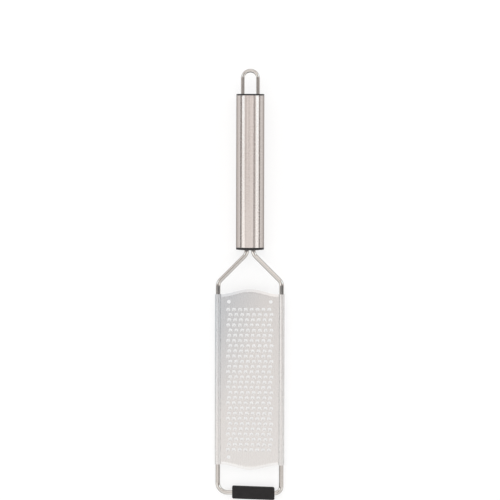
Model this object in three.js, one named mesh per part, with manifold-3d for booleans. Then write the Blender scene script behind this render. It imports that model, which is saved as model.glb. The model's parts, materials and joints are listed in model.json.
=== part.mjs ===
// Hand grater: a pierced steel blade rolled round a bent wire frame, on a steel tube handle.
// Lengths are millimetres and angles are degrees.
// The grater is built along Y, with the tube's front edge at Y 0: the handle and its hanging loop run
// towards +Y, the blade and the foot towards -Y, and the teeth face +Z.
// Last, it is laid on a table, which the rim of the front plug and the foot touch.
import * as THREE from "three";
import { mergeGeometries, mergeVertices } from "three/addons/utils/BufferGeometryUtils.js";
import Module from "manifold-3d";

// Handle: a drawn steel tube, open at both ends.
const tubeLength = 120;
const tubeDiameter = 22;
const tubeWall = 0.8;
const tubeEdgeBreak = 0.15;

// Plugs: moulded cups pressed into the tube, with a flange over its edge and a bridge for the wires.
const flangeThickness = 1.1;
const flangeRound = 0.35;
const flangeSeatGap = 0.1;
const frontCrown = 0.6;
const spigotDepth = 16;
const spigotWall = 2;
const spigotFloor = 1.6;
const spigotLeadIn = 0.8;
const spigotClearance = 0.2;
const bridgeWall = 2;
const boreClearance = 0.2;

// Hanging loop: a bent wire whose two legs stand in the rear plug.
const loopWire = 3;
const loopSpacing = 12;
const loopReach = 19.8;
const loopSocket = 12;

// Frame: one wire from the front plug, round the tip and back, as seen from the toothed side.
const frameWire = 3.5;
const frameSocket = 13;
const exitSpacing = 5.5;
const legSpacing = 50;
const splayAngle = 45;
const shoulderBend = 6.5;
const tipBendLeft = 7.5;
const tipBendRight = 5.2;
const neckStraight = 0.35;
const shoulderStraight = 6.6;
const tipReach = 21.5;

// Blade: sheet steel with its long edges rolled round the frame's legs and its wavy ends turned back.
const sheet = 0.5;
const bladeLength = 134.5;
const railGap = 0.25;
const railStep = 1;
const railFillet = 1;
const railOpening = 60;
const endWave = 4;
const lipRadius = 2.2;
const lipAngle = 65;
const lipRelief = 0.6;
const jointOverlap = 0.4;

// Teeth: rows of openings, each pierced round a tongue that is pressed up and points at the handle.
const toothPitch = 4.62;
const rowPitch = 4.1;
const rowStagger = 0.9;
const openingWidth = 2.8;
const openingHeight = 2.5;
const openingShoulder = 0.35;
const toothRoot = 1.6;
const toothTip = 0.6;
const toothLength = 1.4;
const toothRise = 0.9;
const teethSideMargin = 4;
const teethEndMargin = 10.4;

// Locating holes: one in every corner of the flat but the tip's right-hand one.
const locatingHole = 2.5;
const locatingSideInset = 6.15;
const locatingEndInset = 5.9;

// Foot: a rubber sleeve on the tip rail, pushed against the right-hand bend.
const footHeight = 10;
const footDepth = 9;
const footRound = 2;
const footEndRound = 0.8;
const footBoreClearance = 0.2;
const bareRail = 3.85;

// Fineness of the curved surfaces.
const turnSegments = 36;
const wireSides = 12;
const boreSides = 16;
const holeSides = 12;
const bendStep = 15;
const railSteps = 14;
const filletSteps = 4;
const edgeSteps = 2;
const lipStations = 16;
const lipSteps = 3;
const crownSteps = 4;

// Points closer than the weld are one point, and a cutter runs this far past the faces that it opens.
const weld = 1e-4;
const cutterOverrun = 1;

const steel = { color: 0xd0c8c2, metalness: 1, roughness: 0.32 };
const brightWire = { color: 0xcac4be, metalness: 1, roughness: 0.2 };
const satinSheet = { color: 0xd8d6d3, metalness: 1, roughness: 0.45 };
const blackPlastic = { color: 0x2c292a, metalness: 0, roughness: 0.55 };
const blackRubber = { color: 0x332f30, metalness: 0, roughness: 0.85 };

const { degToRad } = THREE.MathUtils;
const wasm = await Module();
wasm.setup();

// A closed geometry as a solid that can be joined and cut.
function solidOf(geometry) {
  const bare = new THREE.BufferGeometry();
  bare.setAttribute("position", geometry.getAttribute("position"));
  bare.setIndex(geometry.index);
  const merged = mergeVertices(bare, weld);
  const vertProperties = merged.getAttribute("position").array;
  const triVerts = new Uint32Array(merged.index.array);
  return new wasm.Manifold(new wasm.Mesh({ numProp: 3, vertProperties, triVerts }));
}

// A joined or cut solid as a geometry again, with flat facets.
function geometryOf(solid) {
  const { vertProperties, triVerts } = solid.getMesh();
  const indexed = new THREE.BufferGeometry();
  indexed.setAttribute("position", new THREE.BufferAttribute(vertProperties, 3));
  indexed.setIndex(new THREE.BufferAttribute(triVerts, 1));
  const geometry = indexed.toNonIndexed();
  geometry.computeVertexNormals();
  return geometry;
}

function piece(name, geometry, finish) {
  const mesh = new THREE.Mesh(geometry, new THREE.MeshStandardMaterial(finish));
  mesh.name = name;
  return mesh;
}

// Points along a circular arc, both ends included.
function arcPoints(centre, radius, from, to, steps) {
  return Array.from({ length: steps + 1 }, (_, i) => {
    const angle = from + ((to - from) * i) / steps;
    const spoke = new THREE.Vector2(Math.cos(angle), Math.sin(angle));
    return centre.clone().addScaledVector(spoke, radius);
  });
}

// A plain round pin along Y from one height to another.
function pin(radius, from, to, x) {
  const geometry = new THREE.CylinderGeometry(radius, radius, to - from, boreSides);
  return geometry.translate(x, (from + to) / 2, 0);
}

// The handle tube, turned from its wall's section.
const tubeRadius = tubeDiameter / 2;
const tubeBore = tubeRadius - tubeWall;

function handleTube() {
  const wall = [
    new THREE.Vector2(tubeBore, 0),
    new THREE.Vector2(tubeRadius - tubeEdgeBreak, 0),
    new THREE.Vector2(tubeRadius, tubeEdgeBreak),
    new THREE.Vector2(tubeRadius, tubeLength - tubeEdgeBreak),
    new THREE.Vector2(tubeRadius - tubeEdgeBreak, tubeLength),
    new THREE.Vector2(tubeBore, tubeLength),
    new THREE.Vector2(tubeBore, 0),
  ];
  return piece("handle_tube", new THREE.LatheGeometry(wall, turnSegments), steel);
}

// A plug with its spigot towards +Y: a turned cup with a crowned flange, a bridge across the cup and
// two bores through the bridge for a wire's ends.
const spigotRadius = tubeBore - spigotClearance;

function plug(name, crown, wire, spacing) {
  const face = Array.from({ length: crownSteps + 1 }, (_, i) => {
    const radius = ((tubeRadius - flangeRound) * i) / crownSteps;
    const fall = (radius / (tubeRadius - flangeRound)) ** 2;
    return new THREE.Vector2(radius, -flangeThickness - crown * (1 - fall));
  });
  const edgeCentre = new THREE.Vector2(tubeRadius - flangeRound, flangeRound - flangeThickness);
  const edge = arcPoints(edgeCentre, flangeRound, -Math.PI / 2, 0, edgeSteps);
  const cup = [
    ...face.slice(0, -1),
    ...edge,
    new THREE.Vector2(tubeRadius, 0),
    new THREE.Vector2(spigotRadius, 0),
    new THREE.Vector2(spigotRadius, spigotDepth - spigotLeadIn),
    new THREE.Vector2(spigotRadius - spigotLeadIn, spigotDepth),
    new THREE.Vector2(spigotRadius - spigotWall, spigotDepth),
    new THREE.Vector2(spigotRadius - spigotWall, spigotFloor),
    new THREE.Vector2(0, spigotFloor),
  ];
  const bore = wire / 2 + boreClearance;
  const bridgeHalf = bore + bridgeWall;
  const bridgeSpan = 2 * Math.sqrt((spigotRadius - spigotWall / 2) ** 2 - bridgeHalf ** 2);
  const bridgeHeight = spigotDepth - spigotLeadIn;
  const bridge = new THREE.BoxGeometry(bridgeSpan, bridgeHeight, 2 * bridgeHalf);
  bridge.translate(0, bridgeHeight / 2, 0);
  const boreStart = -flangeThickness - crown - cutterOverrun;
  const boreEnd = spigotDepth + cutterOverrun;
  const body = [-spacing / 2, spacing / 2].reduce(
    (rest, x) => rest.subtract(solidOf(pin(bore, boreStart, boreEnd, x))),
    solidOf(new THREE.LatheGeometry(cup, turnSegments)).add(solidOf(bridge)),
  );
  return piece(name, geometryOf(body), blackPlastic);
}

// A flat bent wire as straight stretches and arcs between its corners, one radius for each bend.
function bend(corners, radii) {
  const stretches = [];
  let start = corners[0];
  radii.forEach((radius, i) => {
    const corner = corners[i + 1];
    const back = corners[i].clone().sub(corner).normalize();
    const ahead = corners[i + 2].clone().sub(corner).normalize();
    const half = Math.acos(back.dot(ahead)) / 2;
    const centre = back.clone().add(ahead).setLength(radius / Math.sin(half)).add(corner);
    const setback = radius / Math.tan(half);
    const from = corner.clone().addScaledVector(back, setback).sub(centre).angle();
    const to = corner.clone().addScaledVector(ahead, setback).sub(centre).angle();
    const clockwise = back.cross(ahead) > 0;
    const arc = new THREE.EllipseCurve(centre.x, centre.y, radius, radius, from, to, clockwise);
    stretches.push(new THREE.LineCurve(start, arc.getPoint(0)), arc);
    start = arc.getPoint(1);
  });
  stretches.push(new THREE.LineCurve(start, corners.at(-1)));
  return stretches;
}

// The middle line of a bent wire, divided so that each straight stretch is one step of a sweep and
// each arc has a step for every bendStep of its turn.
class BentWire extends THREE.Curve {
  constructor(stretches) {
    super();
    this.steps = stretches.flatMap((stretch) => {
      const turn = stretch.isLineCurve ? 0 : stretch.getLength() / stretch.xRadius;
      const count = Math.max(1, Math.round(turn / degToRad(bendStep)));
      return Array.from({ length: count }, (_, i) => ({ stretch, from: i / count, share: 1 / count }));
    });
  }

  locate(u) {
    const place = u * this.steps.length;
    const index = Math.min(Math.floor(place), this.steps.length - 1);
    const { stretch, from, share } = this.steps[index];
    return { stretch, t: from + share * (place - index) };
  }

  getPointAt(u) {
    const { stretch, t } = this.locate(u);
    const { x, y } = stretch.getPoint(t);
    return new THREE.Vector3(x, y, 0);
  }

  getTangentAt(u) {
    const { stretch, t } = this.locate(u);
    const { x, y } = stretch.getTangent(t);
    return new THREE.Vector3(x, y, 0);
  }
}

function roundWire(diameter, stretches) {
  const section = new THREE.Shape().absarc(0, 0, diameter / 2, 0, 2 * Math.PI);
  const extrudePath = new BentWire(stretches);
  const steps = extrudePath.steps.length;
  return new THREE.ExtrudeGeometry(section, { extrudePath, steps, curveSegments: wireSides / 2 });
}

// The hanging loop: up from the rear plug, round half a turn and back.
const rearFace = tubeLength + flangeSeatGap + flangeThickness;

function hangingLoop() {
  const half = loopSpacing / 2;
  const foot = rearFace - loopSocket;
  const springing = rearFace + loopReach - loopWire / 2 - half;
  const stretches = [
    new THREE.LineCurve(new THREE.Vector2(-half, foot), new THREE.Vector2(-half, springing)),
    new THREE.EllipseCurve(0, springing, half, half, Math.PI, 0, true),
    new THREE.LineCurve(new THREE.Vector2(half, springing), new THREE.Vector2(half, foot)),
  ];
  return piece("hanging_loop", roundWire(loopWire, stretches), brightWire);
}

// The frame's corners, from the neck at the front plug to the tip rail.
const frontFace = -(flangeSeatGap + flangeThickness + frontCrown);
const splaySetback = shoulderBend * Math.tan(degToRad(splayAngle) / 2);
const neckY = frontFace - neckStraight - splaySetback;
const shoulderY = neckY - (legSpacing - exitSpacing) / 2 / Math.tan(degToRad(splayAngle));
const bladeTop = shoulderY - splaySetback - shoulderStraight;
const bladeBottom = bladeTop - bladeLength;
const railY = bladeBottom - tipReach;

function frameOfWire() {
  const tail = frontFace + frameSocket;
  const side = (sign) => [
    new THREE.Vector2((sign * exitSpacing) / 2, tail),
    new THREE.Vector2((sign * exitSpacing) / 2, neckY),
    new THREE.Vector2((sign * legSpacing) / 2, shoulderY),
    new THREE.Vector2((sign * legSpacing) / 2, railY),
  ];
  const corners = [...side(-1), ...side(1).reverse()];
  const radii = [shoulderBend, shoulderBend, tipBendLeft, tipBendRight, shoulderBend, shoulderBend];
  return piece("frame_wire", roundWire(frameWire, bend(corners, radii)), brightWire);
}

// The blade's section across the frame. The wire's centre is at height 0, the rolled rail goes round
// it, and a fillet leads from the rail down to the flat, which lies railStep below the rail's crest.
const railRadius = frameWire / 2 + railGap + sheet;
const flatFront = railRadius - railStep;
const flatBack = flatFront - sheet;
const filletHeight = (flatFront + flatBack) / 2 + railFillet;
const filletReach = Math.sqrt((railRadius - sheet / 2 + railFillet) ** 2 - filletHeight ** 2);
const flatHalf = legSpacing / 2 - filletReach;

function rolledRail(side) {
  const wire = new THREE.Vector2(legSpacing / 2, 0);
  const filletCentre = new THREE.Vector2(flatHalf, filletHeight);
  const down = -Math.PI / 2;
  const meet = Math.atan2(filletHeight, -filletReach);
  const end = meet - 2 * Math.PI + degToRad(railOpening);
  const section = [
    new THREE.Vector2(flatHalf - jointOverlap, flatFront),
    ...arcPoints(filletCentre, railFillet - sheet / 2, down, meet - Math.PI, filletSteps).slice(0, -1),
    ...arcPoints(wire, railRadius, meet, end, railSteps),
    ...arcPoints(wire, railRadius - sheet, end, meet, railSteps).slice(0, -1),
    ...arcPoints(filletCentre, railFillet + sheet / 2, meet - Math.PI, down, filletSteps),
    new THREE.Vector2(flatHalf - jointOverlap, flatBack),
  ];
  const shape = new THREE.Shape(section.map(({ x, y }) => new THREE.Vector2(side * x, y)));
  const rail = new THREE.ExtrudeGeometry(shape, { depth: bladeLength, bevelEnabled: false });
  return rail.rotateX(Math.PI / 2).translate(0, bladeLength / 2, 0);
}

// The blade's ends: a raised-cosine wave across the flat, with a lip turned back along it.
const lipReach = (lipRadius + sheet / 2) * Math.sin(degToRad(lipAngle));
const lipHalf = flatHalf - jointOverlap - lipRelief;
const lipPlaces = Array.from({ length: lipStations + 1 }, (_, i) => lipHalf * ((2 * i) / lipStations - 1));

function flatEnd(x) {
  return bladeLength / 2 - lipReach + (endWave / 2) * (1 + Math.cos((Math.PI * x) / flatHalf));
}

// A solid through a row of like sections, with the given triangles closing its two ends.
function loft(sections, cap) {
  const count = sections[0].length;
  const last = count * (sections.length - 1);
  const faces = cap.flatMap(([a, b, c]) => [c, b, a, a + last, b + last, c + last]);
  for (let a = 0; a < last; a += 1) {
    const b = a - (a % count) + ((a + 1) % count);
    faces.push(a, a + count, b, b, a + count, b + count);
  }
  const geometry = new THREE.BufferGeometry();
  geometry.setAttribute("position", new THREE.Float32BufferAttribute(sections.flat(2), 3));
  return geometry.setIndex(faces);
}

function turnedLip() {
  const start = Math.PI / 2;
  const stop = start - degToRad(lipAngle);
  const centre = new THREE.Vector2(0, (flatFront + flatBack) / 2 - lipRadius);
  const section = [
    new THREE.Vector2(-jointOverlap, flatFront),
    ...arcPoints(centre, lipRadius + sheet / 2, start, stop, lipSteps),
    ...arcPoints(centre, lipRadius - sheet / 2, stop, start, lipSteps),
    new THREE.Vector2(-jointOverlap, flatBack),
  ];
  const sections = lipPlaces.map((x) => section.map((p) => [x, flatEnd(x) + p.x, p.y]));
  return loft(sections, THREE.ShapeUtils.triangulateShape(section, []));
}

// The teeth lie on a grid that is centred on the flat. Each row is shifted against the one before it,
// and the shifts repeat every three rows.
const rowShifts = [-rowStagger, rowStagger, 0];
const gridWidth = 2 * (flatHalf - teethSideMargin) - openingWidth - 2 * rowStagger;
const toothColumns = Math.floor(gridWidth / toothPitch) + 1;
const gridLength = bladeLength - 2 * teethEndMargin - openingHeight;
const toothRows = Math.floor(gridLength / rowPitch) + 1;

const toothPlaces = Array.from({ length: toothRows * toothColumns }, (_, i) => {
  const row = Math.floor(i / toothColumns);
  const column = i % toothColumns;
  const x = (column - (toothColumns - 1) / 2) * toothPitch + rowShifts[row % rowShifts.length];
  const y = ((toothRows - 1) / 2 - row) * rowPitch;
  return new THREE.Vector2(x, y);
});

function toothOpening({ x, y }) {
  const half = openingWidth / 2;
  const base = y - openingHeight / 2;
  const top = y + openingHeight / 2;
  return new THREE.Shape([
    new THREE.Vector2(x - half, base),
    new THREE.Vector2(x + half, base),
    new THREE.Vector2(x + half - openingShoulder, top),
    new THREE.Vector2(x - half + openingShoulder, top),
  ]);
}

// A tooth is a tapering strip of the sheet that leaves the opening's lower edge and rises to its tip.
function tooth({ x, y }) {
  const base = y - openingHeight / 2;
  const strip = (along, width, rise) => [
    [x - width / 2, along, flatBack + rise],
    [x + width / 2, along, flatBack + rise],
    [x + width / 2, along, flatFront + rise],
    [x - width / 2, along, flatFront + rise],
  ];
  const sections = [
    strip(base - jointOverlap, toothRoot, 0),
    strip(base, toothRoot, 0),
    strip(base + toothLength, toothTip, toothRise),
  ];
  return loft(sections, [[0, 2, 1], [0, 3, 2]]);
}

function toothedFlat() {
  const places = [-flatHalf, ...lipPlaces, flatHalf];
  const top = places.map((x) => new THREE.Vector2(x, flatEnd(x)));
  const bottom = top.map(({ x, y }) => new THREE.Vector2(-x, -y));
  const outline = new THREE.Shape([...top, ...bottom]);
  const holeX = flatHalf - locatingSideInset;
  const holeY = bladeLength / 2 - locatingEndInset;
  for (const [x, y] of [[-holeX, holeY], [holeX, holeY], [-holeX, -holeY]]) {
    outline.holes.push(new THREE.Path().absarc(x, y, locatingHole / 2, 0, 2 * Math.PI));
  }
  const curveSegments = holeSides / 2;
  const flat = new THREE.ExtrudeGeometry(outline, { depth: sheet, bevelEnabled: false, curveSegments });
  const punchDepth = sheet + 2 * cutterOverrun;
  const openings = toothPlaces.map(toothOpening);
  const punches = new THREE.ExtrudeGeometry(openings, { depth: punchDepth, bevelEnabled: false });
  return solidOf(flat.translate(0, 0, flatBack))
    .subtract(solidOf(punches.translate(0, 0, flatBack - cutterOverrun)))
    .add(solidOf(mergeGeometries(toothPlaces.map(tooth))));
}

function graterBlade() {
  const joined = [rolledRail(-1), rolledRail(1), turnedLip(), turnedLip().rotateZ(Math.PI)].reduce(
    (blade, part) => blade.add(solidOf(part)),
    toothedFlat(),
  );
  const blade = piece("grater_blade", geometryOf(joined), satinSheet);
  blade.position.y = (bladeTop + bladeBottom) / 2;
  return blade;
}

// The foot, extruded along the rail from its rounded section.
const footRight = legSpacing / 2 - tipBendRight;
const footLeft = -legSpacing / 2 + tipBendLeft + bareRail;

function rubberFoot() {
  const y = footHeight / 2 - footRound;
  const z = footDepth / 2 - footRound;
  const quarter = Math.PI / 2;
  const section = new THREE.Shape([
    ...arcPoints(new THREE.Vector2(y, z), footRound, 0, quarter, filletSteps),
    ...arcPoints(new THREE.Vector2(-y, z), footRound, quarter, 2 * quarter, filletSteps),
    ...arcPoints(new THREE.Vector2(-y, -z), footRound, 2 * quarter, 3 * quarter, filletSteps),
    ...arcPoints(new THREE.Vector2(y, -z), footRound, 3 * quarter, 4 * quarter, filletSteps),
  ]);
  section.holes.push(new THREE.Path().absarc(0, 0, frameWire / 2 + footBoreClearance, 0, 2 * Math.PI));
  const sleeve = new THREE.ExtrudeGeometry(section, {
    depth: footRight - footLeft - 2 * footEndRound,
    curveSegments: boreSides / 2,
    bevelThickness: footEndRound,
    bevelSize: footEndRound,
    bevelOffset: -footEndRound,
    bevelSegments: edgeSteps,
  });
  const alongRail = new THREE.Matrix4().makeBasis(
    new THREE.Vector3(0, 1, 0),
    new THREE.Vector3(0, 0, 1),
    new THREE.Vector3(1, 0, 0),
  );
  const foot = piece("rubber_foot", sleeve.applyMatrix4(alongRail), blackRubber);
  foot.position.set(footLeft + footEndRound, railY, 0);
  return foot;
}

const frontPlug = plug("front_plug", frontCrown, frameWire, exitSpacing);
frontPlug.position.y = -flangeSeatGap;
const rearPlug = plug("rear_plug", 0, loopWire, loopSpacing);
rearPlug.rotation.z = Math.PI;
rearPlug.position.y = tubeLength + flangeSeatGap;

// The grater as it lies on a table: the handle is raised until the front plug's rim and the foot's
// tip-side edge are level, and the table is the plane Z 0 with the grater's middle over the origin.
const rimY = -flangeSeatGap - flangeThickness + flangeRound;
const footEdgeY = railY - footHeight / 2 + footRound;
const grater = new THREE.Group();
grater.add(handleTube(), frontPlug, rearPlug, hangingLoop(), frameOfWire(), graterBlade(), rubberFoot());
grater.rotation.x = Math.atan((tubeRadius - footDepth / 2) / (rimY - footEdgeY));
const reach = new THREE.Box3().setFromObject(grater, true);
const middle = reach.getCenter(new THREE.Vector3());
grater.position.set(-middle.x, -middle.y, -reach.min.z);

const handGrater = new THREE.Group();
handGrater.name = "hand_grater";
handGrater.add(grater);

export default handGrater;
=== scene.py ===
import json
import math

import bmesh
import bpy
import numpy as np
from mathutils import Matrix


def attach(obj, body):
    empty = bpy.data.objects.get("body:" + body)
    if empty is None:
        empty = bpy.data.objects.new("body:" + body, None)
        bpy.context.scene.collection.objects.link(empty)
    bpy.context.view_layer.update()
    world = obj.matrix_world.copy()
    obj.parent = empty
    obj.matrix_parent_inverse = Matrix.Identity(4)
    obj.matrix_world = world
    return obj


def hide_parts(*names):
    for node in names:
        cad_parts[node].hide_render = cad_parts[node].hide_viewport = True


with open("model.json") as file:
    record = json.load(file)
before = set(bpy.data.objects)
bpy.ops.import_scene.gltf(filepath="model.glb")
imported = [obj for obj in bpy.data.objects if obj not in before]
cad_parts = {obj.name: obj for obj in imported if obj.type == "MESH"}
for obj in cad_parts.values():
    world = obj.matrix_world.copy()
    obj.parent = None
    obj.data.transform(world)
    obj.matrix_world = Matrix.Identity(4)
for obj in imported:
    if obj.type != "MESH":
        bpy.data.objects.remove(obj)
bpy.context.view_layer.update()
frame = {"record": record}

# Handle tube. A drawn stainless steel tube, cut square at both ends, where the plugs are pressed in.
# It is ground round its girth, so whatever it mirrors is drawn out into stripes along it.
# Sizes are millimetres in the grater's own axes: across it, along its handle, and out of its teeth.
mm = 0.001
eye = next(mount for mount in frame["record"]["mounts"] if mount["name"] == "hanging_eye")
eye_distance = 138
outward = np.array(eye["axis"])
across = np.array([1.0, 0.0, 0.0])
along = np.cross(outward, across)
tube_front = np.array(eye["pos_m"]) - eye_distance * mm * along
tilt = math.atan2(along[2], along[1])

tube_start = 0.5
tube_length = 120
tube_radius = 11
tube_wall = 0.8
tube_edge = 0.15
tube_sides = 160
edge_steps = 4
weld_distance = 2e-7
crease_angle = 35
tube_light = (0.644, 0.593, 0.568)
tube_dark = (0.593, 0.538, 0.508)
tube_edge_tint = (0.35, 0.33, 0.32, 1)
tube_roughness = (0.23, 0.29)
draw_streaks = (0.5, 60, 0.5)
grinding_lines = (6, 0.09, 6)
grinding_depth = 0.0006


def on_table(points):
    """The grater's own millimetres as metres where it lies: the front edge of the tube, plus each
    coordinate times its axis."""
    return tube_front + mm * np.asarray(points) @ np.array([across, along, outward])


def arc(centre, radius, start, stop, steps):
    """Points on a circle at equal angles, in degrees: the centre plus radius times cosine and sine."""
    angle = np.radians(np.linspace(start, stop, steps + 1))
    return np.asarray(centre) + radius * np.column_stack([np.cos(angle), np.sin(angle)])


def grid_faces(rows, columns, round_rows=False, round_columns=False):
    """Quads of a grid of points, four point numbers each: a point, the next in its row, and the same two
    in the next row. A round direction joins its last line to its first."""
    i, j = np.meshgrid(
        np.arange(rows if round_rows else rows - 1),
        np.arange(columns if round_columns else columns - 1),
        indexing="ij",
    )
    below, beside = (i + 1) % rows, (j + 1) % columns
    corners = [i * columns + j, i * columns + beside, below * columns + beside, below * columns + j]
    return np.stack(corners, axis=-1).reshape(-1, 4)


def turned(profile, sides):
    """A profile of radius and height turned about the handle's axis: every point goes round a circle of
    its own radius. Rows run round the axis and columns along the profile."""
    turn = np.linspace(0, 2 * np.pi, sides, endpoint=False)[:, None]
    radius, height = profile.T
    return np.stack([radius * np.cos(turn), height + 0 * turn, radius * np.sin(turn)], axis=-1)


def welded(mesh):
    """Joins the points of a mesh that coincide, and turns its faces outwards."""
    shape = bmesh.new()
    shape.from_mesh(mesh)
    bmesh.ops.remove_doubles(shape, verts=shape.verts, dist=weld_distance)
    bmesh.ops.recalc_face_normals(shape, faces=shape.faces)
    shape.to_mesh(mesh)
    shape.free()


def shaded(mesh, crease):
    """Smooth shading that breaks where two faces meet at more than the crease angle, in degrees."""
    mesh.shade_smooth()
    mesh.set_sharp_from_angle(angle=math.radians(crease))


def closed_piece(name, points, faces, **attributes):
    """A mesh object laid on the table, with doubled points welded and its faces turned outwards. An
    attribute is a vector for every point, or, given as a plain row, a number for every face."""
    mesh = bpy.data.meshes.new(name)
    mesh.from_pydata(on_table(points.reshape(-1, 3)).tolist(), [], faces.tolist())
    for key, values in attributes.items():
        if values.ndim == 1:
            mesh.attributes.new(key, "FLOAT", "FACE").data.foreach_set("value", values)
        else:
            mesh.attributes.new(key, "FLOAT_VECTOR", "POINT").data.foreach_set("vector", values.ravel())
    welded(mesh)
    shaded(mesh, crease_angle)
    obj = bpy.data.objects.new(name, mesh)
    bpy.context.scene.collection.objects.link(obj)
    return obj


def join_frame(obj, node, finish):
    """Lets a piece stand for its CAD node, ride on the only body and take its finish."""
    obj.data.materials.clear()
    obj.data.materials.append(finish)
    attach(obj, "root")
    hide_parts(node)


class Nodes:
    """A node tree, and the short calls that the finishes and the studio below are written with."""

    def __init__(self, tree):
        self.tree = tree

    def node(self, kind, inputs=(), **settings):
        """A node of one kind, with its settings, and its inputs by name as values or as links."""
        made = self.tree.nodes.new(kind)
        for key, value in settings.items():
            setattr(made, key, value)
        for key, value in dict(inputs).items():
            if isinstance(value, bpy.types.NodeSocket):
                self.tree.links.new(value, made.inputs[key])
            else:
                made.inputs[key].default_value = value
        return made

    def math(self, operation, first, second=0):
        """The result of one operation on two numbers."""
        return self.node("ShaderNodeMath", {0: first, 1: second}, operation=operation).outputs[0]

    def mixed(self, share, first, second):
        """A colour that goes from the first to the second while the share goes from nought to one."""
        colours = {0: share, 6: first, 7: second}
        return self.node("ShaderNodeMix", colours, data_type="RGBA").outputs[2]


class Finish(Nodes):
    """A material with its shader, whose uniform values stand on the shader's own sockets."""

    def __init__(self, name, **sockets):
        self.material = bpy.data.materials.new(name)
        self.material.use_nodes = True
        super().__init__(self.material.node_tree)
        self.shader = self.tree.nodes["Principled BSDF"]
        for socket, value in sockets.items():
            self.shader.inputs[socket.replace("_", " ")].default_value = value

    def stretched(self, vector, stretch, **settings):
        """A vector with each of its parts divided by a stretch, after the settings' shift and turn."""
        inputs = {"Vector": vector, "Scale": stretch, **settings}
        return self.node("ShaderNodeMapping", inputs, vector_type="TEXTURE").outputs["Vector"]

    def own_axes(self, stretch):
        """Millimetres in the grater's own axes, each divided by its stretch."""
        place = self.node("ShaderNodeTexCoord").outputs["Object"]
        scale = mm * np.array(stretch, float)
        return self.stretched(place, scale, Location=tube_front, Rotation=(tilt, 0, 0))

    def noise(self, vector, detail, roughness=0.5):
        """Smooth noise from 0 to 1, about one bump for each unit of the vector."""
        settings = {"Vector": vector, "Scale": 1, "Detail": detail, "Roughness": roughness}
        return self.node("ShaderNodeTexNoise", settings).outputs["Fac"]

    def ramp(self, value, low, high, start=0.3, stop=0.7):
        """A number or colour that goes evenly from low to high as the value goes from start to stop."""
        blend = self.node("ShaderNodeMapRange", {"Value": value, "From Min": start, "From Max": stop})
        if np.isscalar(low):
            blend.inputs["To Min"].default_value = low
            blend.inputs["To Max"].default_value = high
            return blend.outputs["Result"]
        return self.mixed(blend.outputs["Result"], (*low, 1), (*high, 1))

    def set(self, socket, value):
        """Links a value to one of the shader's sockets."""
        self.tree.links.new(value, self.shader.inputs[socket])

    def bump(self, height, depth):
        """Shades the surface as if it stood out by height times depth, in millimetres."""
        settings = {"Height": height, "Distance": depth * mm, "Strength": 1}
        self.set("Normal", self.node("ShaderNodeBump", settings).outputs["Normal"])


def ground_tube_finish():
    """Fine grinding lines round the tube, and a few faint draw streaks along it."""
    finish = Finish("ground_tube", Metallic=1, Anisotropic=1, Specular_Tint=tube_edge_tint)
    streaks = finish.noise(finish.own_axes(draw_streaks), detail=4)
    lines = finish.noise(finish.own_axes(grinding_lines), detail=2)
    finish.set("Base Color", finish.ramp(streaks, tube_dark, tube_light))
    finish.set("Roughness", finish.ramp(lines, *tube_roughness))
    finish.bump(lines, grinding_depth)
    direction = finish.node("ShaderNodeCombineXYZ", {"Y": along[1], "Z": along[2]})
    finish.set("Tangent", direction.outputs["Vector"])
    return finish.material


tube_bore = tube_radius - tube_wall
tube_profile = np.vstack([
    (tube_bore, tube_start),
    arc((tube_radius - tube_edge, tube_start + tube_edge), tube_edge, -90, 0, edge_steps),
    arc((tube_radius - tube_edge, tube_length - tube_edge), tube_edge, 0, 90, edge_steps),
    (tube_bore, tube_length),
])
handle = closed_piece(
    "handle_tube_ground",
    turned(tube_profile, tube_sides),
    grid_faces(tube_sides, len(tube_profile), True, True),
)
join_frame(handle, "handle_tube", ground_tube_finish())

# Plugs. Two black moulded cups, pressed into the tube until their flanges cover its edges.
# Each has a bridge across the cup with two bores, in which the ends of a wire stand. The front plug's
# face is slightly domed, the rear plug's is flat.
front_flange = 1.6
rear_flange = 1.1
flange_edge = 0.35
flange_gap = 0.1
front_dome = 0.6
spigot_depth = 16
spigot_wall = 2
spigot_floor = 1.6
spigot_lead_in = 0.8
spigot_clearance = 0.2
bridge_wall = 2
bore_clearance = 0.2
drill_overrun = 1
dome_steps = 8
bore_sides = 48
plug_black = (0.0144, 0.0127, 0.0131)
plug_worn = (0.0237, 0.0220, 0.0220)
plug_gloss = 0.3
plug_roughness = (0.42, 0.58)
plug_cloud = (4, 4, 4)
plug_grain = (0.12, 0.12, 0.12)
plug_grain_depth = 0.012

loop_diameter = 3
loop_spacing = 12
frame_diameter = 3.7
exit_spacing = 5.5
spigot_radius = tube_bore - spigot_clearance
half_turn = np.array([-1, -1, 1])


def combined(body, tool, operation):
    """Joins a tool to a body or cuts it away, and throws the tool away."""
    modifier = body.modifiers.new("combine", "BOOLEAN")
    modifier.operation = operation
    modifier.object = tool
    modifier.solver = "EXACT"
    depsgraph = bpy.context.evaluated_depsgraph_get()
    result = bpy.data.meshes.new_from_object(body.evaluated_get(depsgraph))
    body.modifiers.clear()
    body.data = result
    bpy.data.objects.remove(tool)


def moulded_black_finish():
    """Fine spark-eroded grain and a slightly uneven gloss."""
    finish = Finish("moulded_black", Metallic=0, Specular_IOR_Level=plug_gloss)
    grain = finish.noise(finish.own_axes(plug_grain), detail=2)
    cloud = finish.noise(finish.own_axes(plug_cloud), detail=3)
    finish.set("Base Color", finish.ramp(cloud, plug_black, plug_worn))
    finish.set("Roughness", finish.ramp(cloud, *plug_roughness))
    finish.bump(grain, plug_grain_depth)
    return finish.material


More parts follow.
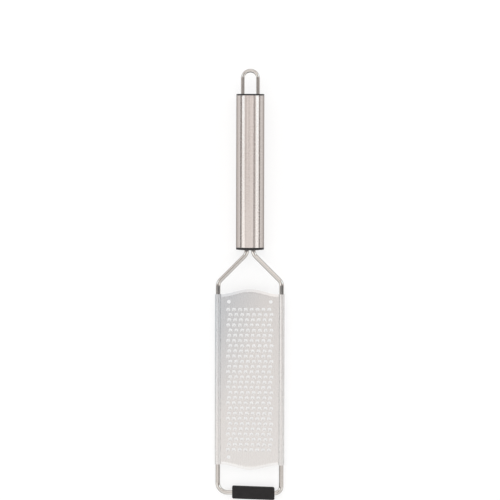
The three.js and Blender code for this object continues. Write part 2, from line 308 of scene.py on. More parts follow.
def plug(name, flange, dome, wire_diameter, spacing, turn_round):
    """A cup turned from its profile, joined to its bridge and bored twice. The dome falls off with the
    square of the radius. Turned round, the plug faces the loop instead of the blade."""
    face_radius = tube_radius - flange_edge
    radius = np.linspace(0, face_radius, dome_steps, endpoint=False)
    face = np.column_stack([radius, -flange - dome * (1 - (radius / face_radius) ** 2)])
    profile = np.vstack([
        face,
        arc((face_radius, flange_edge - flange), flange_edge, -90, 0, edge_steps),
        (tube_radius, 0),
        (spigot_radius, 0),
        (spigot_radius, spigot_depth - spigot_lead_in),
        (spigot_radius - spigot_lead_in, spigot_depth),
        (spigot_radius - spigot_wall, spigot_depth),
        (spigot_radius - spigot_wall, spigot_floor),
        (0, spigot_floor),
    ])
    facing = half_turn if turn_round else np.ones(3)
    seat = np.array([0, tube_length + flange_gap if turn_round else tube_start - flange_gap, 0])
    cup = turned(profile, tube_sides)
    body = closed_piece(name, seat + facing * cup, grid_faces(tube_sides, len(profile), True))

    bore = wire_diameter / 2 + bore_clearance
    half_bridge = bore + bridge_wall
    half_span = math.sqrt((spigot_radius - spigot_wall / 2) ** 2 - half_bridge ** 2)
    bridge_top = spigot_depth - spigot_lead_in
    corner = np.array([(-1, -1), (1, -1), (1, 1), (-1, 1)]) * (half_span, half_bridge)
    closing = np.array([0, 1, 1, 0])[:, None]
    height = np.array([0, 0, bridge_top, bridge_top])[:, None]
    x, z = closing * corner[:, 0], closing * corner[:, 1]
    box = np.stack([x, height + 0 * x, z], axis=-1)
    bridge = closed_piece("bridge", seat + facing * box, grid_faces(4, 4, False, True))
    combined(body, bridge, "UNION")

    start, stop = -2 * flange, spigot_depth + drill_overrun
    pin = turned(np.array([(0, start), (bore, start), (bore, stop), (0, stop)]), bore_sides)
    for side in (-1, 1):
        centre = seat + (side * spacing / 2, 0, 0)
        drill = closed_piece("drill", centre + facing * pin, grid_faces(bore_sides, 4, True))
        combined(body, drill, "DIFFERENCE")
    welded(body.data)
    shaded(body.data, crease_angle)
    return body


moulded_black = moulded_black_finish()
front_plug = plug("front_plug_moulded", front_flange, front_dome, frame_diameter, exit_spacing, False)
rear_plug = plug("rear_plug_moulded", rear_flange, 0, loop_diameter, loop_spacing, True)
join_frame(front_plug, "front_plug", moulded_black)
join_frame(rear_plug, "rear_plug", moulded_black)

# Hanging loop. A piece of bright stainless steel wire, bent round half a turn.
# Its two legs stand in the bores of the rear plug.
loop_reach = 19.8
loop_socket = 12
wire_sides = 40
bend_step = 3
wire_end = 0.25
wire_light = (0.576, 0.551, 0.525)
wire_dark = (0.517, 0.492, 0.466)
wire_roughness = (0.05, 0.10)
wire_cloud = (3, 3, 3)
die_lines = (0.22, 0.22, 25)
die_line_depth = 0.0012
rear_face = tube_length + flange_gap + rear_flange


def round_wire(path, heading, diameter):
    """The points and faces of a round wire: a circle carried along the path, square to the heading. Both
    ends close to a point through a small chamfer. With them comes each point's place in the wire as it
    was drawn, before its bends: across, up and along."""
    end = wire_end * heading
    first, last = path[:1], path[-1:]
    path = np.vstack([first, first, first + end[:1], path[1:-1], last - end[-1:], last, last])
    heading = np.vstack([heading[:1], heading[:1], heading, heading[-1:], heading[-1:]])
    radius = np.full(len(path), diameter / 2)
    radius[[0, -1]] = 0
    radius[[1, -2]] -= wire_end
    turn = np.linspace(0, 2 * np.pi, wire_sides, endpoint=False)
    side = radius[:, None] * np.cos(turn)
    rise = radius[:, None] * np.sin(turn)
    x = path[:, :1] + heading[:, 1:] * side
    y = path[:, 1:] - heading[:, :1] * side
    length = np.hstack([0, np.cumsum(np.linalg.norm(np.diff(path, axis=0), axis=1))])
    drawn = np.stack([side, rise, length[:, None] + 0 * side], axis=-1)
    return np.stack([x, y, rise], axis=-1), grid_faces(len(path), wire_sides, False, True), drawn


def bright_wire_finish():
    """Polished drawn wire: fine die lines that follow it round its bends, and soft clouding."""
    finish = Finish("bright_wire", Metallic=1)
    drawn = finish.node("ShaderNodeAttribute", attribute_name="drawn").outputs["Vector"]
    lines = finish.noise(finish.stretched(drawn, die_lines), detail=3)
    cloud = finish.noise(finish.own_axes(wire_cloud), detail=5)
    finish.set("Base Color", finish.ramp(lines, wire_dark, wire_light))
    finish.set("Roughness", finish.ramp(cloud, *wire_roughness))
    finish.bump(lines, die_line_depth)
    return finish.material


bright_wire = bright_wire_finish()
half_loop = loop_spacing / 2
springing = rear_face + loop_reach - loop_diameter / 2 - half_loop
loop_turn = arc((0, springing), half_loop, 180, 0, 180 // bend_step)
loop_foot = np.array([[half_loop, rear_face - loop_socket]])
loop_path = np.vstack([loop_foot * (-1, 1), loop_turn, loop_foot])
spokes = (loop_turn - (0, springing)) / half_loop
loop_heading = np.vstack([[0, 1], spokes @ np.array([[0, -1], [1, 0]]), [0, -1]])
loop_points, loop_faces, loop_drawn = round_wire(loop_path, loop_heading, loop_diameter)
loop = closed_piece("hanging_loop_wire", loop_points, loop_faces, drawn=loop_drawn)
join_frame(loop, "hanging_loop", bright_wire)

# Frame. One length of thicker bright wire: two tails in the front plug, splayed shoulders, two legs
# that the blade is rolled round, and the tip rail. The left tip bend is wider than the right one.
frame_socket = 13
leg_spacing = 50
splay_angle = 45
shoulder_bend = 6.5
tip_bend_left = 7.5
tip_bend_right = 5.2
neck_straight = 0.35
shoulder_straight = 6.6
blade_length = 134.5
tip_reach = 22.1
tip_skew = 0.015
front_face = tube_start - flange_gap - front_flange - front_dome
splay_setback = shoulder_bend * math.tan(math.radians(splay_angle) / 2)
neck_y = front_face - neck_straight - splay_setback
shoulder_y = neck_y - (leg_spacing - exit_spacing) / 2 / math.tan(math.radians(splay_angle))
blade_top = shoulder_y - splay_setback - shoulder_straight
rail_y = blade_top - blade_length - tip_reach


def askew(points):
    """The tip sits a little askew: from the top of the blade to its lower end, and on from there, points
    slide along the grater by a growing share of the skew times their distance from the middle."""
    share = np.clip((blade_top - points[..., 1]) / blade_length, 0, 1)
    slide = -tip_skew * share * points[..., 0]
    return points + np.stack([0 * slide, slide, 0 * slide], axis=-1)


def bent_path(corners, radii):
    """The middle line of a flat bent wire, and its heading at every point. Each corner gives way to an
    arc that touches both of its runs, a setback of radius over the tangent of half the angle away."""
    points = [corners[:1]]
    headings = []
    for before, corner, after, radius in zip(corners, corners[1:], corners[2:], radii):
        back = (before - corner) / np.linalg.norm(before - corner)
        ahead = (after - corner) / np.linalg.norm(after - corner)
        half = math.acos(back @ ahead) / 2
        centre = corner + (back + ahead) / np.linalg.norm(back + ahead) * radius / math.sin(half)
        bend = math.degrees(math.pi - 2 * half) * np.sign(ahead[0] * back[1] - ahead[1] * back[0])
        spoke = corner + back * radius / math.tan(half) - centre
        start = math.degrees(math.atan2(spoke[1], spoke[0]))
        steps = math.ceil(abs(bend) / bend_step)
        turn = np.radians(np.linspace(start, start + bend, steps + 1))
        points.append(centre + radius * np.column_stack([np.cos(turn), np.sin(turn)]))
        headings.append(np.sign(bend) * np.column_stack([-np.sin(turn), np.cos(turn)]))
    points.append(corners[-1:])
    return np.vstack(points), np.vstack([headings[0][:1], *headings, headings[-1][-1:]])


right_half = np.array([
    (exit_spacing / 2, front_face + frame_socket),
    (exit_spacing / 2, neck_y),
    (leg_spacing / 2, shoulder_y),
    (leg_spacing / 2, rail_y),
])
frame_corners = np.vstack([right_half * (-1, 1), right_half[::-1]])
frame_radii = [shoulder_bend, shoulder_bend, tip_bend_left, tip_bend_right, shoulder_bend, shoulder_bend]
frame_path, frame_heading = bent_path(frame_corners, frame_radii)
frame_points, frame_faces, frame_drawn = round_wire(frame_path, frame_heading, frame_diameter)
wire_frame = closed_piece("frame_wire_bent", askew(frame_points), frame_faces, drawn=frame_drawn)
join_frame(wire_frame, "frame_wire", bright_wire)

# Blade. Satin stainless steel sheet, pierced and pressed into 224 teeth that point at the handle.
# Its long edges are rolled round the legs of the frame, and its wavy ends are turned back as lips.
# It is laid out as the sheet's middle surface, about the blade's middle, and then given its thickness.
sheet = 0.5
rail_gap = 0.15
rail_step = 1
rail_fillet = 0.5
rail_opening = 60
end_wave = 4
lip_bend = 0.6
lip_angle = 22
lip_reach = 2.22
lip_relief = 0.3
tooth_columns = 8
tooth_rows = 28
tooth_pitch = 4.62
row_pitch = 4.1
row_stagger = 0.9
opening_width = 2.8
opening_height = 2.5
opening_arch = 0.8
tooth_root = 2.3
tooth_tip = 0.9
tooth_length = 1.4
tooth_point = 0.12
tooth_rise = 0.9
tooth_curl = 1.4
tooth_taper = 0.75
tooth_crease = 13
hole_diameter = 2.8
hole_across = 16.5
hole_end_inset = 5.9
hole_block_start = 1.6
tooth_steps = 3
cell_steps = 4
arch_steps = 2
wave_steps = 4
fillet_steps = 6
roll_steps = 40
rail_end_steps = 2
lip_steps = 4
# Painted reflection: the sheet's own colour is painted from a darker, cooler tone at its upper left to a
# lighter, warmer one at its lower right, with a little noise in the change.
sheet_painted_shade = (0.612, 0.631, 0.650)
sheet_painted_light = (0.738, 0.724, 0.711)
painted_light_across = 0.9
painted_light_cloud = 0.2
painted_light_span = (0.1, 0.7)
sheet_roughness = (0.265, 0.29)
sheet_cloud = (26, 60, 26)
rolling_grain = (0.16, 9, 0.16)
rolling_depth = 0.0004
# Painted shade on the teeth: a darker colour, and how much of it each row of a tongue takes, from the
# root to the tip.
painted_tooth_shade = (0.53, 0.51, 0.495)
tooth_shade_by_row = (0.8, 0.5, 0.05)

roll_radius = frame_diameter / 2 + rail_gap + sheet / 2
flat_height = roll_radius - rail_step
fillet_height = flat_height + rail_fillet
fillet_reach = math.sqrt((roll_radius + rail_fillet) ** 2 - fillet_height ** 2)
flat_half = leg_spacing / 2 - fillet_reach
lip_half = flat_half - lip_relief
field_half = np.array([tooth_columns * tooth_pitch, tooth_rows * row_pitch]) / 2
field_columns = np.arange(tooth_columns * cell_steps + 1) / cell_steps * tooth_pitch - field_half[0]
side_columns = np.array([(field_half[0] + row_stagger + lip_half) / 2, lip_half, flat_half])
row_shift = np.resize([-row_stagger, row_stagger, 0], tooth_rows)
seam_shift = np.hstack([0, (row_shift[1:] + row_shift[:-1]) / 2, 0])
hole_y = blade_length / 2 - hole_end_inset
hole_block = hole_y - field_half[1] - hole_block_start
wave_share = np.arange(1, wave_steps + 1) / wave_steps
end_levels = np.hstack([
    field_half[1],
    hole_y + hole_block * np.linspace(-1, 1, cell_steps + 1),
    np.full(wave_steps, hole_y + hole_block),
])


def wave_end(x):
    """Where the flat ends: a raised cosine across it, highest in the middle."""
    return blade_length / 2 - lip_reach + end_wave / 2 * (1 + np.cos(np.pi * x / flat_half))


def ring_round(steps):
    """The border of a unit square as points from its lower right corner upwards and round."""
    part = np.arange(steps) / steps
    zero, one = np.zeros(steps), np.ones(steps)
    sides = [(one, part), (1 - part, one), (zero, 1 - part), (part, zero)]
    return np.vstack([np.column_stack(side) for side in sides])


def ring_faces(count):
    """Quads between an outer ring and an inner one that has as many points and is numbered after it."""
    here = np.arange(count)
    there = (here + 1) % count
    return np.column_stack([here, there, there + count, here + count])


def tooth_field():
    """A cell for every tooth: the cell's border, the arched opening and the tongue that rises from the
    opening's lower edge. The borders lean so that neighbouring rows meet in spite of their shifts. With
    the points and faces come each point's share of the way up its tongue and each face's painted shade."""
    row, column = np.meshgrid(np.arange(tooth_rows), np.arange(tooth_columns), indexing="ij")
    row, column = row.reshape(-1, 1), column.reshape(-1, 1)
    border = ring_round(cell_steps)
    lean = np.where(border[:, 1] == 0, seam_shift[row + 1], row_shift[row])
    lean = np.where(border[:, 1] == 1, seam_shift[row], lean)
    border_x = (column + border[:, 0]) * tooth_pitch - field_half[0] + lean
    border_y = field_half[1] - (row + 1 - border[:, 1]) * row_pitch

    half_width, half_height = opening_width / 2, opening_height / 2
    arch_centre = (half_width - opening_arch, half_height - opening_arch)
    base = np.array([(half_width, -half_height), (half_width, -half_height / 2), (half_width, 0)])
    right = np.vstack([base, arc(arch_centre, opening_arch, 0, 90, arch_steps)])
    left = right[::-1] * (-1, 1)
    breadth = np.array([-1, 0, 1])
    root = np.column_stack([tooth_root / 2 * breadth, 0 * breadth - half_height])
    opening = np.vstack([right, (0, half_height), left, root])
    step = np.linspace(0, 1, tooth_steps + 1)[1:, None]
    half_tooth = (tooth_root + (tooth_tip - tooth_root) * step) / 2
    tongue_x = half_tooth * breadth
    tongue_y = -half_height + tooth_length * step - tooth_point * step * np.abs(breadth)
    tongue_z = tooth_rise * step ** tooth_curl + 0 * tongue_x
    centre_x = (column + 0.5) * tooth_pitch - field_half[0] + row_shift[row]
    centre_y = field_half[1] - (row + 0.5) * row_pitch

    x = np.hstack([border_x, centre_x + opening[:, 0], centre_x + tongue_x.reshape(1, -1)])
    y = np.hstack([border_y, centre_y + opening[:, 1], centre_y + tongue_y.reshape(1, -1)])
    level = np.zeros(2 * len(border))
    z = np.hstack([level, tongue_z.ravel()]) + 0 * x
    ring = ring_faces(len(border))
    tongue = grid_faces(tooth_steps + 1, len(breadth)) + len(level) - len(breadth)
    cell = np.vstack([ring, tongue])
    first = np.arange(len(x))[:, None, None] * x.shape[1]
    thinned = np.hstack([level, np.repeat(step, len(breadth))]) + 0 * x
    # Painted shade for each face: none on the cell's ring, and each row of the tongue its share, most at
    # the root.
    dulled = np.hstack([np.zeros(len(ring)), np.repeat(tooth_shade_by_row, len(breadth) - 1)])
    points = np.stack([x, y, z], axis=-1).reshape(-1, 3)
    return points, (cell + first).reshape(-1, 4), thinned.reshape(-1, 1), np.tile(dulled, len(x))


def side_strip(side):
    """The plain strip between the teeth and a rail, from the leaning borders to the flat's edge."""
    line = np.arange(tooth_rows * cell_steps + 1)
    row = np.minimum(line // cell_steps, tooth_rows - 1)
    lean = np.where(line % cell_steps == 0, seam_shift[line // cell_steps], row_shift[row])
    border = side * field_half[0] + lean
    fixed = side * side_columns + 0 * border[:, None]
    x = np.sort(np.column_stack([border, fixed]), axis=1)[::-1]
    y = field_half[1] - line[::-1] * row_pitch / cell_steps
    points = np.stack([x, y[:, None] + 0 * x, 0 * x], axis=-1)
    return points.reshape(-1, 3), grid_faces(*x.shape)


def blade_end(holes, turn_round):
    """A plain end of the flat, from the last row of teeth to the wave, with its round locating holes,
    each in place of a block of faces. Turned round, it is the end at the tip."""
    columns = np.hstack([-side_columns[::-1], field_columns, side_columns])
    share = np.hstack([np.zeros(len(end_levels) - wave_steps), wave_share])[:, None]
    level = end_levels[:, None]
    y = level + share * (wave_end(columns) - level)
    x = columns + 0 * y
    faces = grid_faces(*x.shape)
    numbers = np.arange(x.size).reshape(x.shape)
    border = np.rint(ring_round(cell_steps) * cell_steps).astype(int)
    lower_right = -45
    spoke = np.radians(np.arange(len(border)) * 360 / len(border) + lower_right)
    circle = hole_diameter / 2 * np.column_stack([np.cos(spoke), np.sin(spoke), 0 * spoke])
    points, rings = [np.stack([x, y, 0 * x], axis=-1).reshape(-1, 3)], []
    for side in holes:
        first = len(side_columns) + (0 if side < 0 else (tooth_columns - 1) * cell_steps)
        block = numbers[1:cell_steps + 2, first:first + cell_steps + 1]
        inside = np.isin(faces, block).all(axis=1)
        faces = faces[~inside]
        outer = block[border[:, 1], border[:, 0]]
        inner = sum(map(len, points)) + np.arange(len(border))
        points.append(circle + (side * hole_across, hole_y, 0))
        rings.append(np.hstack([outer, inner])[ring_faces(len(border))])
    return np.vstack(points) * (half_turn if turn_round else 1), np.vstack([faces, *rings])


def rolled_rail(side):
    """A concave fillet up from the flat and a roll round the wire, as one profile along the blade."""
    meet = math.degrees(math.atan2(fillet_height, -fillet_reach))
    fillet = arc((flat_half, fillet_height), rail_fillet, -90, meet - 180, fillet_steps)
    roll = arc((leg_spacing / 2, 0), roll_radius, meet, meet - 360 + rail_opening, roll_steps)
    profile = np.vstack([fillet[:-1], roll])
    if side < 0:
        profile = profile[::-1] * (-1, 1)
    field = np.linspace(-1, 1, tooth_rows * cell_steps + 1) * field_half[1]
    flat_end = wave_end(flat_half)
    end = np.hstack([
        end_levels[1:-wave_steps],
        end_levels[-1] + wave_share * (flat_end - end_levels[-1]),
        np.linspace(flat_end, blade_length / 2, rail_end_steps + 1)[1:],
    ])
    y = np.hstack([-end[::-1], field, end])[:, None]
    x = profile[:, 0] + 0 * y
    points = np.stack([x, y + 0 * x, profile[:, 1] - flat_height + 0 * x], axis=-1)
    return points.reshape(-1, 3), grid_faces(*x.shape)


def turned_lip(turn_round):
    """A lip bent down over a small radius all along the wave, and then straight out to its edge."""
    inner = side_columns[:-1]
    x = np.hstack([-inner[::-1], field_columns, inner])
    bend = np.radians(np.linspace(0, lip_angle, lip_steps + 1))
    out, down = lip_bend * np.sin(bend), lip_bend * (1 - np.cos(bend))
    straight = (lip_reach - out[-1] - sheet / 2 * math.sin(bend[-1])) / math.cos(bend[-1])
    out = np.append(out, out[-1] + straight * math.cos(bend[-1]))
    down = np.append(down, down[-1] + straight * math.sin(bend[-1]))
    y = wave_end(x) + out[:, None]
    points = np.stack([x + 0 * y, y, -down[:, None] + 0 * y], axis=-1).reshape(-1, 3)
    return points * (half_turn if turn_round else 1), grid_faces(*y.shape)


def satin_sheet_finish():
    """Fine rolling grain along the blade, a painted reflection that makes the sheet darker and cooler at
    its upper left and lighter and warmer at its lower right, and painted shade on the teeth, darkest at
    their roots."""
    finish = Finish("satin_sheet", Metallic=1)
    grain = finish.noise(finish.own_axes(rolling_grain), detail=3)
    cloud = finish.noise(finish.own_axes(sheet_cloud), detail=2)
    blade_share = finish.own_axes((leg_spacing, blade_length, 1))
    place = finish.node("ShaderNodeSeparateXYZ", {0: blade_share}).outputs
    # Painted reflection: the share of painted light grows across to the right and down the blade, with a
    # little noise.
    painted_light = finish.math("SUBTRACT", finish.math("MULTIPLY", place["X"], painted_light_across), place["Y"])
    painted_light = finish.math("ADD", painted_light, finish.math("MULTIPLY", cloud, painted_light_cloud))
    colour = finish.ramp(painted_light, sheet_painted_shade, sheet_painted_light, *painted_light_span)
    # Painted shade on the teeth, mixed in by each face's share.
    dulled = finish.node("ShaderNodeAttribute", attribute_name="dulled").outputs["Fac"]
    finish.set("Base Color", finish.mixed(dulled, colour, (*painted_tooth_shade, 1)))
    finish.set("Roughness", finish.ramp(grain, *sheet_roughness))
    finish.bump(grain, rolling_depth)
    return finish.material


tooth_points, tooth_faces, tooth_thinned, tooth_dulled = tooth_field()
sheet_parts = [
    (tooth_points, tooth_faces),
    side_strip(-1),
    side_strip(1),
    blade_end((-1, 1), False),
    blade_end((1,), True),
    rolled_rail(-1),
    rolled_rail(1),
    turned_lip(False),
    turned_lip(True),
]
first_point = np.cumsum([0] + [len(points) for points, _ in sheet_parts])
sheet_points = np.vstack([points for points, _ in sheet_parts])
sheet_faces = np.vstack([faces + first for (_, faces), first in zip(sheet_parts, first_point)])
blade_middle = np.array([0, blade_top - blade_length / 2, flat_height])
# Painted shade goes on the teeth only; the rest of the sheet gets none.
thinned, dulled = np.zeros_like(sheet_points), np.zeros(len(sheet_faces))
thinned[:len(tooth_points)] = tooth_thinned
dulled[:len(tooth_faces)] = tooth_dulled
blade_points = askew(sheet_points + blade_middle)
blade = closed_piece("grater_blade_toothed", blade_points, sheet_faces, thinned=thinned, dulled=dulled)

way_up = np.zeros(3 * len(blade.data.vertices))
blade.data.attributes["thinned"].data.foreach_get("vector", way_up)
weights = blade.vertex_groups.new(name="thickness")
for share in np.unique(way_up):
    weights.add(np.flatnonzero(way_up[::3] == share).tolist(), 1 - tooth_taper * share, "REPLACE")
thicken = blade.modifiers.new("thickness", "SOLIDIFY")
thicken.vertex_group = weights.name
thicken.thickness = sheet * mm
thicken.offset = 0
thicken.use_even_offset = True
blade_view = blade.evaluated_get(bpy.context.evaluated_depsgraph_get())
blade.data = bpy.data.meshes.new_from_object(blade_view)
blade.modifiers.clear()
blade.vertex_groups.clear()
shaded(blade.data, tooth_crease)
join_frame(blade, "grater_blade", satin_sheet_finish())

# Foot. A black rubber sleeve with flat sides and rounded edges, pushed along the tip rail against the
# right-hand bend, so that it sits a little to the right of the middle.
foot_height = 10
foot_depth = 9
foot_round = 2
foot_end_round = 1.2
foot_lean = 1.15
foot_clearance = 0.2
bare_rail = 3.85
foot_corner_steps = 8
rubber_black = (0.0136, 0.0123, 0.0127)
rubber_grey = (0.0254, 0.0233, 0.0237)
rubber_gloss = 0.21
rubber_roughness = (0.7, 0.88)
rubber_scuffs = (5, 2.2, 2.2)
scuff_sharpness = 0.65
rubber_grain = (0.18, 0.18, 0.18)
rubber_grain_depth = 0.03
foot_right = leg_spacing / 2 - tip_bend_right
foot_left = -leg_spacing / 2 + tip_bend_left + bare_rail


def foot_sleeve():
    """Rounded rectangles along the rail, drawn in over a quarter circle at each end, then back through
    the round bore. Rows run along the sleeve and columns round it. The soft sleeve leans a little."""
    rounding = np.radians(np.linspace(0, 90, edge_steps + 1))
    inset = foot_end_round * (1 - np.sin(rounding))
    end_x = foot_end_round * (1 - np.cos(rounding))
    x = np.hstack([foot_left + end_x, foot_right - end_x[::-1], foot_right, foot_left])[:, None]
    inset = np.hstack([inset, inset[::-1]])[:, None]
    quarter = np.array([[0], [90], [180], [270]])
    turn = np.radians(quarter + np.linspace(0, 90, foot_corner_steps + 1)).ravel()
    corner = np.repeat([(1, 1), (-1, 1), (-1, -1), (1, -1)], foot_corner_steps + 1, axis=0)
    corner_y, corner_z = (corner * (np.array([foot_height, foot_depth]) / 2 - foot_round)).T
    y = corner_y + (foot_round - inset) * np.cos(turn)
    z = corner_z + (foot_round - inset) * np.sin(turn)
    bore = frame_diameter / 2 + foot_clearance
    bore_turn = np.arctan2(corner_z + foot_round * np.sin(turn), corner_y + foot_round * np.cos(turn))
    y = np.vstack([y, *[bore * np.cos(bore_turn)] * 2])
    z = np.vstack([z, *[bore * np.sin(bore_turn)] * 2])
    lean = math.tan(math.radians(foot_lean)) * (x - (foot_left + foot_right) / 2)
    return askew(np.stack([x + 0 * y, rail_y + y - lean, z], axis=-1))


def matt_rubber_finish():
    """Matt rubber with a fine grain and faint greyish scuffs."""
    finish = Finish("matt_rubber", Metallic=0, Specular_IOR_Level=rubber_gloss)
    grain = finish.noise(finish.own_axes(rubber_grain), detail=3)
    scuffs = finish.noise(finish.own_axes(rubber_scuffs), detail=5, roughness=scuff_sharpness)
    finish.set("Base Color", finish.ramp(scuffs, rubber_black, rubber_grey))
    finish.set("Roughness", finish.ramp(scuffs, *rubber_roughness))
    finish.bump(grain, rubber_grain_depth)
    return finish.material


foot_points = foot_sleeve()
foot = closed_piece("rubber_foot_sleeve", foot_points, grid_faces(*foot_points.shape[:2], True, True))
join_frame(foot, "rubber_foot", matt_rubber_finish())

# Floor. A plain white surface, lit mostly from itself for the eye, for mirrors and for glass, so that
# it is white with only a soft shadow under the grater. From below it lets the eye through.
floor_half = 6
floor_glow = 0.67
floor_catch = (0.34, 0.34, 0.34, 1)
floor_bounce = (0.8, 0.8, 0.8, 1)


def white_floor_finish():
    """Glow plus a little diffuse white where the floor is seen, plain diffuse white where it only lights,
    and nothing at all from its lower side."""
    finish = Finish("white_floor")
    path = finish.node("ShaderNodeLightPath").outputs
    seen = finish.math("MAXIMUM", path["Is Camera Ray"], path["Is Glossy Ray"])
    seen = finish.math("MAXIMUM", seen, path["Is Transmission Ray"])
    glow = finish.node("ShaderNodeEmission", {"Color": (1, 1, 1, 1), "Strength": floor_glow})
    catch = finish.node("ShaderNodeBsdfDiffuse", {"Color": floor_catch})
    bounce = finish.node("ShaderNodeBsdfDiffuse", {"Color": floor_bounce})
    both = finish.node("ShaderNodeAddShader", {0: glow.outputs[0], 1: catch.outputs[0]})
    above = finish.node("ShaderNodeMixShader", {0: seen, 1: bounce.outputs[0], 2: both.outputs[0]})
    below = finish.node("ShaderNodeNewGeometry").outputs["Backfacing"]
    clear = finish.node("ShaderNodeBsdfTransparent")
    whole = finish.node("ShaderNodeMixShader", {0: below, 1: above.outputs[0], 2: clear.outputs[0]})
    finish.tree.links.new(whole.outputs[0], finish.tree.nodes["Material Output"].inputs["Surface"])
    return finish.material


floor_corners = np.array([(-1, -1, 0), (1, -1, 0), (1, 1, 0), (-1, 1, 0)]) * floor_half
floor_mesh = bpy.data.meshes.new("floor")
floor_mesh.from_pydata(floor_corners.tolist(), [], [(0, 1, 2, 3)])
floor_mesh.materials.append(white_floor_finish())
floor = bpy.data.objects.new("floor", floor_mesh)
bpy.context.scene.collection.objects.link(floor)

# Studio. A warm ceiling with a dark gap over the camera and shaded edges, two cool white panels low on
# each side, dark walls below them, a dark and a bright bar for the splayed wires to mirror, and a small
# strip lamp for the left rail. The eye itself sees plain white past the floor.
ceiling = [
    (-1.00, (1.23, 1.23, 1.23)),
    (-0.50, (1.26, 1.26, 1.26)),
    (-0.20, (1.51, 1.48, 1.45)),
    (-0.11, (1.16, 1.12, 1.10)),
    (-0.086, (0.28, 0.28, 0.29)),
    (-0.035, (0.28, 0.28, 0.29)),
    (-0.01, (0.85, 0.80, 0.77)),
    (0.03, (0.98, 0.91, 0.88)),
    (0.10, (1.16, 1.07, 1.04)),
    (0.50, (1.24, 1.20, 1.18)),
    (1.00, (1.23, 1.23, 1.22)),
]
edge_slope = {-1: (31, 36, 40, 45), 1: (24, 30, 40, 46)}
edge_shade = {-1: 0.4, 1: 0.55}
wall_slope = {-1: (75, 80), 1: (78, 83)}
wall_share = 0.14
panel_slope = {-1: (49, 53, 70, 76), 1: (46, 51, 71, 78)}
behind_handle = (0.12, 0.18, 0.40, 0.50)
beside_blade = (-0.50, -0.42, -0.15, -0.10)
panels = [
    (-1, behind_handle, (1.04, 1.47, 1.68)),
    (1, behind_handle, (1.30, 1.79, 2.01)),
    (-1, beside_blade, (0.65, 0.71, 0.71)),
    (1, beside_blade, (0.53, 0.57, 0.57)),
]
bar_width = (-0.11, -0.08, -0.015, 0.015)
dark_bar = (-0.02, 0.02, 0.30, 0.36)
dark_bar_shade = 0.95
bright_bar = (0.30, 0.36, 0.72, 0.80)
bright_bar_light = (0.71, 0.71, 0.71)
strip_place = (-230, -75, 264)
strip_size = (140, 110)
strip_light = (0.55, 0.55, 0.54)

world = bpy.data.worlds.new("studio")
bpy.context.scene.world = world
world.use_nodes = True
studio = Nodes(world.node_tree)
direction = studio.node("ShaderNodeTexCoord").outputs["Generated"]


def fade(value, start, stop, low, high):
    """A soft step from low to high while the value goes from start to stop."""
    settings = {"Value": value, "From Min": start, "From Max": stop, "To Min": low, "To Max": high}
    step = studio.node("ShaderNodeMapRange", settings, interpolation_type="SMOOTHSTEP")
    return step.outputs["Result"]


def window(value, start, full, fading, end):
    """One between full and fading, nought outside start and end, with soft steps between."""
    return studio.math("MULTIPLY", fade(value, start, full, 0, 1), fade(value, fading, end, 1, 0))


def scaled(colour, share):
    """A colour times a number."""
    return studio.node("ShaderNodeVectorMath", {0: colour, "Scale": share}, operation="SCALE").outputs[0]


def dimmed(colour, amount, shade):
    """A colour that loses the shade's share of itself where the amount is one."""
    return scaled(colour, studio.math("SUBTRACT", 1, studio.math("MULTIPLY", amount, shade)))


def added(first, second):
    """The sum of two colours."""
    return studio.node("ShaderNodeVectorMath", {0: first, 1: second}, operation="ADD").outputs[0]


def towards(axis):
    """How far a direction goes along an axis."""
    settings = {0: direction, 1: axis}
    return studio.node("ShaderNodeVectorMath", settings, operation="DOT_PRODUCT").outputs["Value"]


def bar(side, length):
    """A bar at half a right angle to the grater, on one side: one inside its length and width."""
    half = math.sqrt(0.5)
    on, off = towards((side * half, half, 0)), towards((-side * half, half, 0))
    return studio.math("MULTIPLY", window(on, *length), window(off, *bar_width))


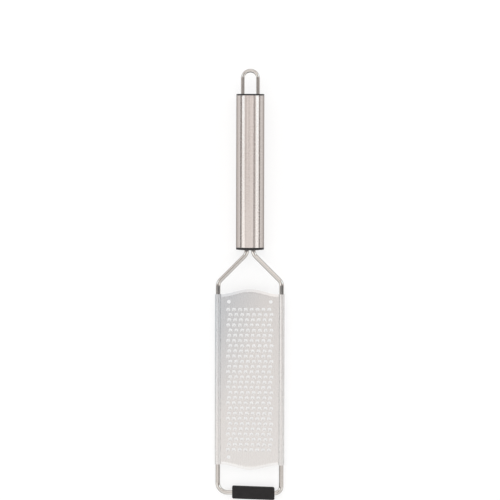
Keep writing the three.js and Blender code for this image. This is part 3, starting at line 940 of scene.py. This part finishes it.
# Reach is the height of a direction along the grater, and slope its angle from upright to one side.
parts = studio.node("ShaderNodeSeparateXYZ", {0: direction}).outputs
reach = parts["Y"]
slope = {}
for side in (-1, 1):
    slope[side] = studio.math("ARCTAN2", studio.math("MULTIPLY", parts["X"], side), parts["Z"])
share = studio.math("ADD", studio.math("MULTIPLY", reach, 0.5), 0.5)
colours = studio.node("ShaderNodeValToRGB", {0: share})
stops = colours.color_ramp.elements
stops.remove(stops[1])
for number, (height, colour) in enumerate(ceiling):
    stop = stops[0] if number == 0 else stops.new(0.5 + height / 2)
    stop.position = 0.5 + height / 2
    stop.color = (*colour, 1)

light = colours.outputs["Color"]
for side in (-1, 1):
    light = dimmed(light, window(slope[side], *np.radians(edge_slope[side])), edge_shade[side])
    light = scaled(light, fade(slope[side], *np.radians(wall_slope[side]), 1, wall_share))
light = dimmed(light, bar(-1, dark_bar), dark_bar_shade)
light = added(light, scaled(bright_bar_light, bar(1, bright_bar)))
for side, panel_reach, panel_light in panels:
    low = window(slope[side], *np.radians(panel_slope[side]))
    lit = studio.math("MULTIPLY", low, window(reach, *panel_reach))
    light = added(light, scaled(panel_light, lit))
eye_ray = studio.node("ShaderNodeLightPath").outputs["Is Camera Ray"]
shown = studio.mixed(eye_ray, light, (1, 1, 1, 1))
studio.tree.links.new(shown, studio.tree.nodes["Background"].inputs["Color"])

strip = bpy.data.lights.new("strip", "AREA")
strip.shape = "RECTANGLE"
strip.size, strip.size_y = np.array(strip_size) * mm
strip.color = strip_light
strip.energy = math.pi * strip.size * strip.size_y
strip_lamp = bpy.data.objects.new("strip", strip)
bpy.context.scene.collection.objects.link(strip_lamp)
strip_lamp.location = np.array(strip_place) * mm
strip_lamp.rotation_euler = (0, math.atan2(strip_place[0], strip_place[2]), 0)
strip_lamp.visible_camera = False

# Camera. It looks straight down on the grater from well above, turned a little, so that the foot lies
# left of the handle's line. Its lens follows from how many millimetres a pixel of the picture covers.
photo_pixels = 500
photo_scale = 0.787
camera_height = 3
camera_turn = 0.14
view_middle = (0, -1.5, 0)
camera_data = bpy.data.cameras.new("camera")
camera = bpy.data.objects.new("camera", camera_data)
bpy.context.scene.collection.objects.link(camera)
middle = on_table(view_middle)
camera.location = (middle[0], middle[1], camera_height)
camera.rotation_euler = (0, 0, math.radians(camera_turn))
view_width = photo_pixels * photo_scale * mm
camera_data.lens = camera_data.sensor_width * (camera_height - middle[2]) / view_width
bpy.context.scene.camera = camera
bpy.context.scene.view_settings.view_transform = "Standard"
